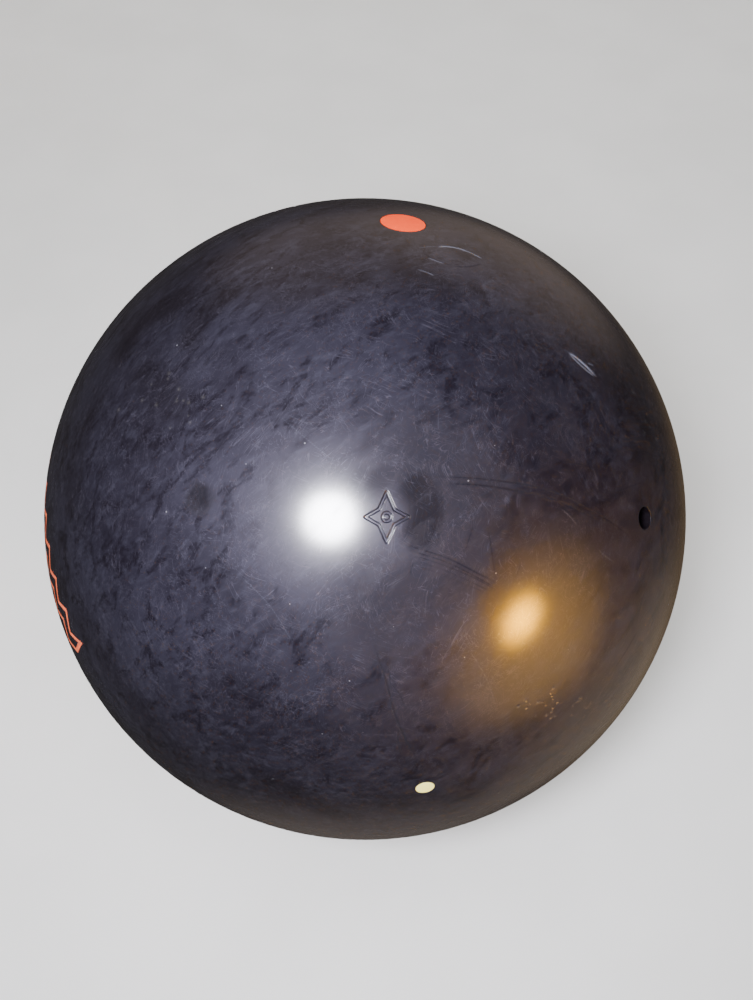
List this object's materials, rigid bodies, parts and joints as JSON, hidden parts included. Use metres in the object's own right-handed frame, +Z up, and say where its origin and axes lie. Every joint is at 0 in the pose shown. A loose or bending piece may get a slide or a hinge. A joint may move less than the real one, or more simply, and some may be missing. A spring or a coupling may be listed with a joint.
{
  "type": "bowling ball",
  "caption": "Drilled bowling ball with a dark semi-gloss cover, coloured pins, finger inserts, a thumb slug, a vent hole and an asymmetric core.",
  "frame": {"origin": "the ball's centre", "axes": "+Z is up. +X points out of the thumb hole along its axis. The label face, with the engraved mark, is turned up by 60 degrees and towards -Y. -Z points at the place where the ball rests."},
  "size_m": [0.216, 0.217, 0.217],
  "materials": {
    "coverstock": "satin",
    "orange_resin": "satin",
    "yellow_resin": "satin",
    "orange_paint": "satin",
    "filler_resin": "matte",
    "core_ceramic": "matte",
    "flip_ceramic": "matte",
    "thumb_urethane": "satin",
    "finger_vinyl": "satin"
  },
  "bodies": {
    "root": {"coverstock": "coverstock", "locating_pin": "orange_resin", "mass_bias_pin": "yellow_resin", "zigzag_inlay": "orange_paint", "filler_core": "filler_resin", "weight_block": "core_ceramic", "flip_block": "flip_ceramic", "thumb_slug": "thumb_urethane", "middle_finger_insert": "finger_vinyl", "ring_finger_insert": "finger_vinyl"}
  },
  "joints": []
}
